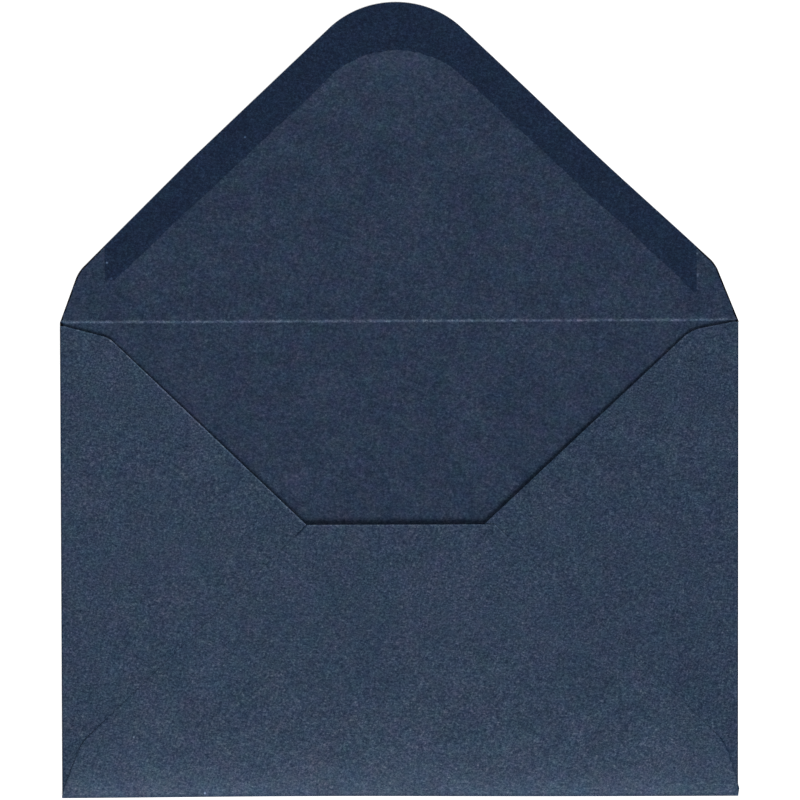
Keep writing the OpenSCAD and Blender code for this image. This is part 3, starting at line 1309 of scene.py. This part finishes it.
INSIDE = PaperFinish(
    "paper_inside",
    (40.8, 53.6, 74.3),
    grain=3.55,
    strokes=0.8,
    clouds=0.7,
    tint=0.82,
    relief=0.006 * MM,
    edge=75,
    painted_light_and_pale=9,
    specks=(
        (71.05 * MM, 72.78 * MM, 0.4 * MM, 75),
        (70.67 * MM, 70.40 * MM, 0.4 * MM, 50),
        (71.25 * MM, 67.60 * MM, 0.4 * MM, 75),
        (71.0 * MM, 64.66 * MM, 0.4 * MM, 60),
    ),
)
OUTSIDE = PaperFinish(
    "paper_outside",
    (47.6, 61.7, 82.3),
    grain=3.85,
    strokes=1.0,
    clouds=0.5,
    tint=0.6,
    relief=0.04 * MM,
    edge=40,
    painted_light_and_pale=20.5,
    specks=(
        (-63.8 * MM, -42.2 * MM, 0.34 * MM, 120),
        (-46.9 * MM, -55.68 * MM, 0.37 * MM, 210),
    ),
)
CUT = PaperFinish(
    "paper_cut_edge", (62, 76, 95), grain=2.5, strokes=0, clouds=0, tint=0.3, relief=0.02 * MM
)
GUM = PaperFinish(
    "dry_gum",
    (19.6, 34.3, 56.7),
    grain=3.8,
    strokes=1,
    clouds=0.5,
    tint=0.62,
    relief=0.006 * MM,
    roughness=0.4,
    specks=(
        (-69.87 * MM, 71.13 * MM, 0.35 * MM, 160),
        (-36.76 * MM, 101.05 * MM, 0.34 * MM, 210),
        (-68.87 * MM, 67.3 * MM, 0.45 * MM, 60),
        (-1.5 * MM, 123.1 * MM, 0.6 * MM, 20),
    ),
)
GLUE = PaperFinish(
    "dry_glue",
    (209, 204, 184),
    grain=0.3,
    strokes=0,
    clouds=0.3,
    tint=0.1,
    relief=0.01 * MM,
    roughness=0.4,
    gloss=0.4,
)


@dataclass(frozen=True)
class Pattern:
    """A noise pattern.

    Attributes:
        scale: Number of patches on one metre.
        detail: Number of finer layers.
        roughness: Strength of each finer layer, compared with the one before.
    """

    scale: float
    detail: float
    roughness: float


MOTTLE = Pattern(2450, 2, 0.95)
FIBRES = Pattern(2600, 1, 0.5)
CLOUDS = Pattern(90, 4, 0.6)
GREEN = Pattern(170, 4, 0.72)
BLUE = Pattern(240, 2, 0.65)
SCORE_WANDER = Pattern(900, 2, 0.6)
SCORE_TUFTS = Pattern(480, 3, 0.7)


class NodePen:
    """Adds shader nodes to a tree and joins them."""

    def __init__(self, tree: bpy.types.NodeTree) -> None:
        """Take the tree and empty it."""
        self.tree = tree
        tree.nodes.clear()

    def add(self, kind: str, inputs: Inputs | None = None, **settings: object) -> bpy.types.Node:
        """Add a node.

        Args:
            kind: Blender's name for the kind of node.
            inputs: A value or another node's socket for each input.
            **settings: The node's own properties.

        Returns:
            The new node.
        """
        node = self.tree.nodes.new(kind)
        for name, value in settings.items():
            setattr(node, name, value)
        for key, value in (inputs or {}).items():
            if isinstance(value, bpy.types.NodeSocket):
                self.tree.links.new(value, node.inputs[key])
            else:
                node.inputs[key].default_value = value
        return node

    def math(self, operation: str, *inputs: object) -> bpy.types.NodeSocket:
        """Add a Math node and return its result."""
        node = self.add("ShaderNodeMath", dict(enumerate(inputs)), operation=operation)
        return node.outputs[0]

    def vector_math(self, operation: str, *inputs: object) -> bpy.types.NodeSocket:
        """Add a Vector Math node and return its result."""
        node = self.add("ShaderNodeVectorMath", dict(enumerate(inputs)), operation=operation)
        return node.outputs[0]

    def group(self, tree: bpy.types.NodeTree, inputs: Inputs) -> bpy.types.NodeOutputs:
        """Place a shared group and return its outputs."""
        return self.add("ShaderNodeGroup", inputs, node_tree=tree).outputs

    def noise(self, vector: bpy.types.NodeSocket, pattern: Pattern) -> bpy.types.NodeSocket:
        """Add a noise texture.

        Args:
            vector: Place that it reads.
            pattern: Its pattern.

        Returns:
            Its value, centred on zero.
        """
        inputs = {"Scale": pattern.scale, "Detail": pattern.detail, "Roughness": pattern.roughness}
        node = self.add("ShaderNodeTexNoise", {"Vector": vector, **inputs})
        return self.math("SUBTRACT", node.outputs["Fac"], 0.5)


def new_group(name: str, inputs: dict[str, str], outputs: dict[str, str]) -> bpy.types.NodeTree:
    """Make an empty shader node group.

    Args:
        name: Name of the group.
        inputs: Kind of socket for each input's name.
        outputs: Kind of socket for each output's name.

    Returns:
        The group's tree.
    """
    tree = bpy.data.node_groups.new(name, "ShaderNodeTree")
    for side, sockets in (("INPUT", inputs), ("OUTPUT", outputs)):
        for label, kind in sockets.items():
            tree.interface.new_socket(label, in_out=side, socket_type=f"NodeSocket{kind}")
    return tree


class PaperShop:
    """Builds the materials, and holds the node groups that they share.

    Attributes:
        FIBRE_TURNS: Directions of the short fibres, in degrees.
        FIBRE_SHAPE: Stretch of the fibres' pattern, and MOTTLE_SHAPE that of the finest mottle.
        BLUE_SHIFT: Start of the blue patches, away from the green ones.
        RED_SWING: Strength of the grain in red, and BLUE_SWING in blue. It is 1 in green.
        GREEN_TINT: Strength of the green patches in green, and BLUE_TINT that of the blue ones.
        PAINTED_LIGHT_GRAIN: Share of the grain that the painted light and the paler paper take
            away.
        DARKEST: Least colour that the painted light and shade and the specks can bring the paper
            down to.
        SCORE_HALF_WIDTH: Half the width of the scored line.
        SCORE_STRAY: How far the scored line wanders.
        CREASE_HIGHLIGHT: Change in screen levels of the painted highlight on the scored line.
        TUFT_SWING: How unevenly the line shows, with TUFT_LEAST as the least that shows.
    """

    FIBRE_TURNS = (5, 70, 150)
    FIBRE_SHAPE = (3, 1, 1)
    MOTTLE_SHAPE = (0.88, 1, 1)
    BLUE_SHIFT = (0.3, 0.7, 0.1)
    RED_SWING = 1.22
    BLUE_SWING = 0.78
    GREEN_TINT = -0.5
    BLUE_TINT = 0.55
    PAINTED_LIGHT_GRAIN = 0.3
    DARKEST = (0.001, 0.001, 0.001)
    SCORE_HALF_WIDTH = 0.48 * MM
    SCORE_STRAY = 0.4 * MM
    CREASE_HIGHLIGHT = 45.0
    TUFT_SWING = 2.5
    TUFT_LEAST = 0.1

    def __init__(self) -> None:
        """Build the shared groups."""
        self.grain = self._grain_group()
        self.score = self._crease_highlight_group()
        self.speck = self._speck_group()

    def _fibres(
        self, pen: NodePen, vector: bpy.types.NodeSocket, turn: float
    ) -> bpy.types.NodeSocket:
        """Add short fibres that lie in one direction.

        Args:
            pen: Draws in the group.
            vector: Place that the pattern reads.
            turn: Direction of the fibres, in degrees.

        Returns:
            Their value, centred on zero.
        """
        inputs = {"Vector": vector, "Location": (turn, 0, 0), "Scale": self.FIBRE_SHAPE}
        inputs["Rotation"] = (0, 0, math.radians(turn))
        lie = pen.add("ShaderNodeMapping", inputs, vector_type="TEXTURE")
        return pen.noise(lie.outputs[0], FIBRES)

    def _grain_group(self) -> bpy.types.NodeTree:
        """Build the group of mottled fibres that every surface of the envelope shows.

        Returns:
            The group's tree.
        """
        inputs = {"Vector": "Vector", "Colour": "Color"}
        inputs.update(dict.fromkeys(("Grain", "Strokes", "Clouds", "Tint"), "Float"))
        tree = new_group("fibre_grain", inputs, {"Colour": "Color", "Height": "Float"})
        pen = NodePen(tree)
        given = pen.add("NodeGroupInput").outputs
        place = given["Vector"]
        mottle = pen.noise(pen.vector_math("MULTIPLY", place, self.MOTTLE_SHAPE), MOTTLE)
        fibres, *others = (self._fibres(pen, place, turn) for turn in self.FIBRE_TURNS)
        for other in others:
            fibres = pen.math("ADD", fibres, other)
        height = pen.math("MULTIPLY", mottle, given["Grain"])
        height = pen.math("MULTIPLY_ADD", fibres, given["Strokes"], height)
        swing = pen.math("MULTIPLY_ADD", pen.noise(place, CLOUDS), given["Clouds"], height)
        green = pen.math("MULTIPLY", pen.noise(place, GREEN), given["Tint"])
        shifted = pen.vector_math("ADD", place, self.BLUE_SHIFT)
        blue = pen.math("MULTIPLY", pen.noise(shifted, BLUE), given["Tint"])
        blue_swing = pen.math("MULTIPLY", swing, self.BLUE_SWING)
        levels = (
            pen.math("MULTIPLY_ADD", swing, self.RED_SWING, green),
            pen.math("MULTIPLY_ADD", green, self.GREEN_TINT, swing),
            pen.math("MULTIPLY_ADD", blue, self.BLUE_TINT, blue_swing),
        )
        parts = {index: pen.math("EXPONENT", level) for index, level in enumerate(levels)}
        factor = pen.add("ShaderNodeCombineXYZ", parts).outputs[0]
        colour = pen.vector_math("MULTIPLY", given["Colour"], factor)
        pen.add("NodeGroupOutput", {"Colour": colour, "Height": height})
        return tree

    def _crease_highlight_group(self) -> bpy.types.NodeTree:
        """Build the group that masks the painted highlight of the raised fibres along a line scored
        along x.

        Returns:
            The group's tree.
        """
        tree = new_group("painted_crease_highlight", {"Vector": "Vector", "Line y": "Float"}, {"Mask": "Float"})
        pen = NodePen(tree)
        given = pen.add("NodeGroupInput").outputs
        place = given["Vector"]
        y = pen.add("ShaderNodeSeparateXYZ", {0: place}).outputs["Y"]
        offset = pen.math("SUBTRACT", y, given["Line y"])
        offset = pen.math("MULTIPLY_ADD", pen.noise(place, SCORE_WANDER), self.SCORE_STRAY, offset)
        share = pen.math("DIVIDE", pen.math("ABSOLUTE", offset), self.SCORE_HALF_WIDTH)
        ridge = pen.math("SUBTRACT", 1.0, pen.math("MINIMUM", share, 1.0))
        tufts = pen.math("MULTIPLY_ADD", pen.noise(place, SCORE_TUFTS), self.TUFT_SWING, 1.0)
        tufts = pen.math("MAXIMUM", tufts, self.TUFT_LEAST)
        pen.add("NodeGroupOutput", {"Mask": pen.math("MULTIPLY", ridge, tufts)})
        return tree

    @staticmethod
    def _speck_group() -> bpy.types.NodeTree:
        """Build the group that masks one round speck of dust, seen from above.

        Returns:
            The group's tree.
        """
        inputs = {"Vector": "Vector", "Place": "Vector", "Radius": "Float"}
        tree = new_group("dust_speck", inputs, {"Mask": "Float"})
        pen = NodePen(tree)
        given = pen.add("NodeGroupInput").outputs
        offset = pen.vector_math("SUBTRACT", given["Vector"], given["Place"])
        offset = pen.vector_math("MULTIPLY", offset, (1, 1, 0))
        length = pen.add("ShaderNodeVectorMath", {0: offset}, operation="LENGTH").outputs["Value"]
        share = pen.math("DIVIDE", length, given["Radius"])
        mask = pen.math("SUBTRACT", 1.0, pen.math("MINIMUM", share, 1.0))
        pen.add("NodeGroupOutput", {"Mask": mask})
        return tree

    def material(self, finish: PaperFinish, score_y: float | None = None) -> bpy.types.Material:
        """Build the material of a finish.

        Args:
            finish: The finish.
            score_y: Place of the scored line whose painted highlight the surface shows, if it shows
                one.

        Returns:
            The material.
        """
        material = bpy.data.materials.new(finish.name)
        material.use_nodes = True
        pen = NodePen(material.node_tree)
        place = pen.add("ShaderNodeTexCoord").outputs["Object"]
        light: float | bpy.types.NodeSocket = 0.0
        grain: float | bpy.types.NodeSocket = finish.grain
        # Painted highlight and shade along the cut edges and the folds.
        if finish.edge:
            mark = pen.add("ShaderNodeAttribute", attribute_name="cut_edge").outputs["Fac"]
            spread = pen.math("SQRT", pen.math("ABSOLUTE", mark))
            spread = pen.math("MULTIPLY", pen.math("SIGN", mark), spread)
            light = pen.math("MULTIPLY", spread, finish.edge)
        # Painted light near the bottom fold and across the sheet, and the paler paper under the
        # gum's point.
        if finish.painted_light_and_pale:
            painted_light_and_pale = pen.add("ShaderNodeAttribute", attribute_name="painted_light_and_pale").outputs["Fac"]
            light = pen.math("MULTIPLY_ADD", painted_light_and_pale, finish.painted_light_and_pale, light)
            grain = pen.math("MULTIPLY_ADD", painted_light_and_pale, -self.PAINTED_LIGHT_GRAIN * finish.grain, finish.grain)
        # Painted highlight along the scored crease.
        if score_y is not None:
            line = pen.group(self.score, {"Vector": place, "Line y": score_y})
            light = pen.math("MULTIPLY_ADD", line["Mask"], self.CREASE_HIGHLIGHT, light)
        for x, y, radius, level in finish.specks:
            speck = pen.group(self.speck, {"Vector": place, "Place": (x, y, 0), "Radius": radius})
            light = pen.math("MULTIPLY_ADD", speck["Mask"], level, light)
        colour = finish.linear()
        if isinstance(light, bpy.types.NodeSocket):
            colour = pen.vector_math("MULTIPLY_ADD", light, finish.level_step(), colour[:3])
            colour = pen.vector_math("MAXIMUM", colour, self.DARKEST)
        values = {"Vector": place, "Colour": colour, "Grain": grain}
        values.update(Strokes=finish.strokes, Clouds=finish.clouds, Tint=finish.tint)
        mottle = pen.group(self.grain, values)
        height = {"Height": mottle["Height"], "Distance": finish.relief, "Strength": 1.0}
        shader = pen.add(
            "ShaderNodeBsdfPrincipled",
            {
                "Base Color": mottle["Colour"],
                "Roughness": finish.roughness,
                "Specular IOR Level": finish.gloss,
                "Normal": pen.add("ShaderNodeBump", height).outputs["Normal"],
            },
        )
        pen.add("ShaderNodeOutputMaterial", {"Surface": shader.outputs["BSDF"]})
        return material


@dataclass
class Studio:
    """The pale floor, the soft light and the camera straight above.

    Attributes:
        floor_size, floor_gap: Width of the floor, and how far it lies under the paper.
        floor_level, floor_glow: How much light the floor reflects and gives.
        sky: Strength of the light from all sides.
        key_size, key_power, key_distance: Width, power and distance of the lamp.
        key_elevation, key_azimuth: Directions of the lamp above the floor and off the middle.
        photo_width, photo_centre, photo_turn: Width, middle and turn of the picture.
        lens, sensor: Focal length and width of the camera's sensor, in millimetres.
    """

    floor_size: float = 6.0
    floor_level: float = 0.78
    floor_glow: float = 0.6
    floor_gap: float = 0.01 * MM
    sky: float = 0.41
    key_size: float = 1.4
    key_power: float = 71.7
    key_distance: float = 3.0
    key_elevation: float = math.radians(48)
    key_azimuth: float = math.radians(15)
    photo_width: float = 191.2 * MM
    photo_centre: Point = (0.03 * MM, 38.05 * MM)
    photo_turn: float = math.radians(0.2234)
    lens: float = 400.0
    sensor: float = 36.0

    def build(self) -> None:
        """Make the floor, the lights and the camera."""
        self._floor()
        self._sky()
        self._key_light()
        self._camera()
        bpy.context.scene.view_settings.view_transform = "Standard"

    @staticmethod
    def _seen(pen: NodePen) -> bpy.types.NodeSocket:
        """Tell the rays that should see white from those that only light the paper.

        Args:
            pen: Draws in the material.

        Returns:
            1 on rays from the camera and on those that gloss or glass passes on, and otherwise 0.
        """
        rays = pen.add("ShaderNodeLightPath").outputs
        seen = pen.math("MAXIMUM", rays["Is Camera Ray"], rays["Is Glossy Ray"])
        return pen.math("MAXIMUM", seen, rays["Is Transmission Ray"])

    def _floor(self) -> None:
        """Lay a floor under the paper that looks white and still takes the envelope's shadow."""
        bpy.ops.object.select_all(action="DESELECT")
        bpy.ops.mesh.primitive_plane_add(size=self.floor_size, location=(0, 0, -self.floor_gap))
        floor = bpy.context.object
        floor.name = "floor"
        material = bpy.data.materials.new("floor_white")
        material.use_nodes = True
        pen = NodePen(material.node_tree)
        level = self.floor_level
        matt = pen.add("ShaderNodeBsdfDiffuse", {"Color": (level, level, level, 1)})
        strength = pen.math("MULTIPLY", self._seen(pen), self.floor_glow)
        glow = pen.add("ShaderNodeEmission", {"Strength": strength})
        both = pen.add("ShaderNodeAddShader", {0: matt.outputs[0], 1: glow.outputs[0]})
        pen.add("ShaderNodeOutputMaterial", {"Surface": both.outputs[0]})
        floor.data.materials.append(material)

    def _sky(self) -> None:
        """Surround the scene with an even light that looks white behind the floor."""
        world = bpy.data.worlds.new("sky")
        world.use_nodes = True
        bpy.context.scene.world = world
        pen = NodePen(world.node_tree)
        strength = pen.math("MAXIMUM", self._seen(pen), self.sky)
        light = pen.add("ShaderNodeBackground", {"Color": (1, 1, 1, 1), "Strength": strength})
        pen.add("ShaderNodeOutputWorld", {"Surface": light.outputs[0]})

    def _key_light(self) -> None:
        """Hang the large soft lamp beyond the bottom fold, a little to the right."""
        lamp = bpy.data.lights.new("key", "AREA")
        lamp.shape = "SQUARE"
        lamp.size = self.key_size
        lamp.energy = self.key_power
        key = bpy.data.objects.new("key", lamp)
        bpy.context.scene.collection.objects.link(key)
        flat = math.cos(self.key_elevation)
        away = Vector((
            flat * math.sin(self.key_azimuth),
            -flat * math.cos(self.key_azimuth),
            math.sin(self.key_elevation),
        ))
        target = Vector((*self.photo_centre, 0))
        key.location = target + away * self.key_distance
        key.rotation_euler = away.to_track_quat("Z", "Y").to_euler()

    def _camera(self) -> None:
        """Set the camera straight above the envelope, framed as in the photograph."""
        data = bpy.data.cameras.new("camera")
        data.lens = self.lens
        data.sensor_width = self.sensor
        camera = bpy.data.objects.new("camera", data)
        bpy.context.scene.collection.objects.link(camera)
        height = self.photo_width * self.lens / self.sensor
        camera.location = (*self.photo_centre, height)
        camera.rotation_euler = (0, 0, -self.photo_turn)
        data.clip_start = height / 10
        data.clip_end = 2 * height
        bpy.context.scene.camera = camera


def attach(piece: bpy.types.Object, node: str) -> None:
    """Tie a finished piece to the frame.

    Args:
        piece: The modelled piece.
        node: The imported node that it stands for.
    """
    bpy.ops.object.select_all(action="DESELECT")
    piece.select_set(True)
    bpy.context.view_layer.objects.active = piece
    bpy.ops.object.shade_smooth_by_angle(angle=SMOOTH_ANGLE)
    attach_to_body(piece, BODY)
    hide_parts(node)
    log.info("%s: %d faces, stands for %s", piece.name, len(piece.data.polygons), node)


def main() -> None:
    """Build the envelope and its setting."""
    logging.basicConfig(level=logging.INFO, format="%(message)s")
    Studio().build()
    shop = PaperShop()
    sheet = EnvelopeSheet()
    attach(sheet.build(shop), "envelope_sheet")
    attach(FlapGum().build(shop), "flap_gum")
    cut = sheet.bottom
    for side, shoulder, throat in (
        ("left", cut.left_shoulder, cut.left_throat),
        ("right", cut.right_shoulder, cut.right_throat),
    ):
        line = SeamGlue(f"glue_line_{side}", shoulder, throat).build(shop)
        attach(line, f"seam_glue_{side}")


if __name__ == "__main__":
    main()
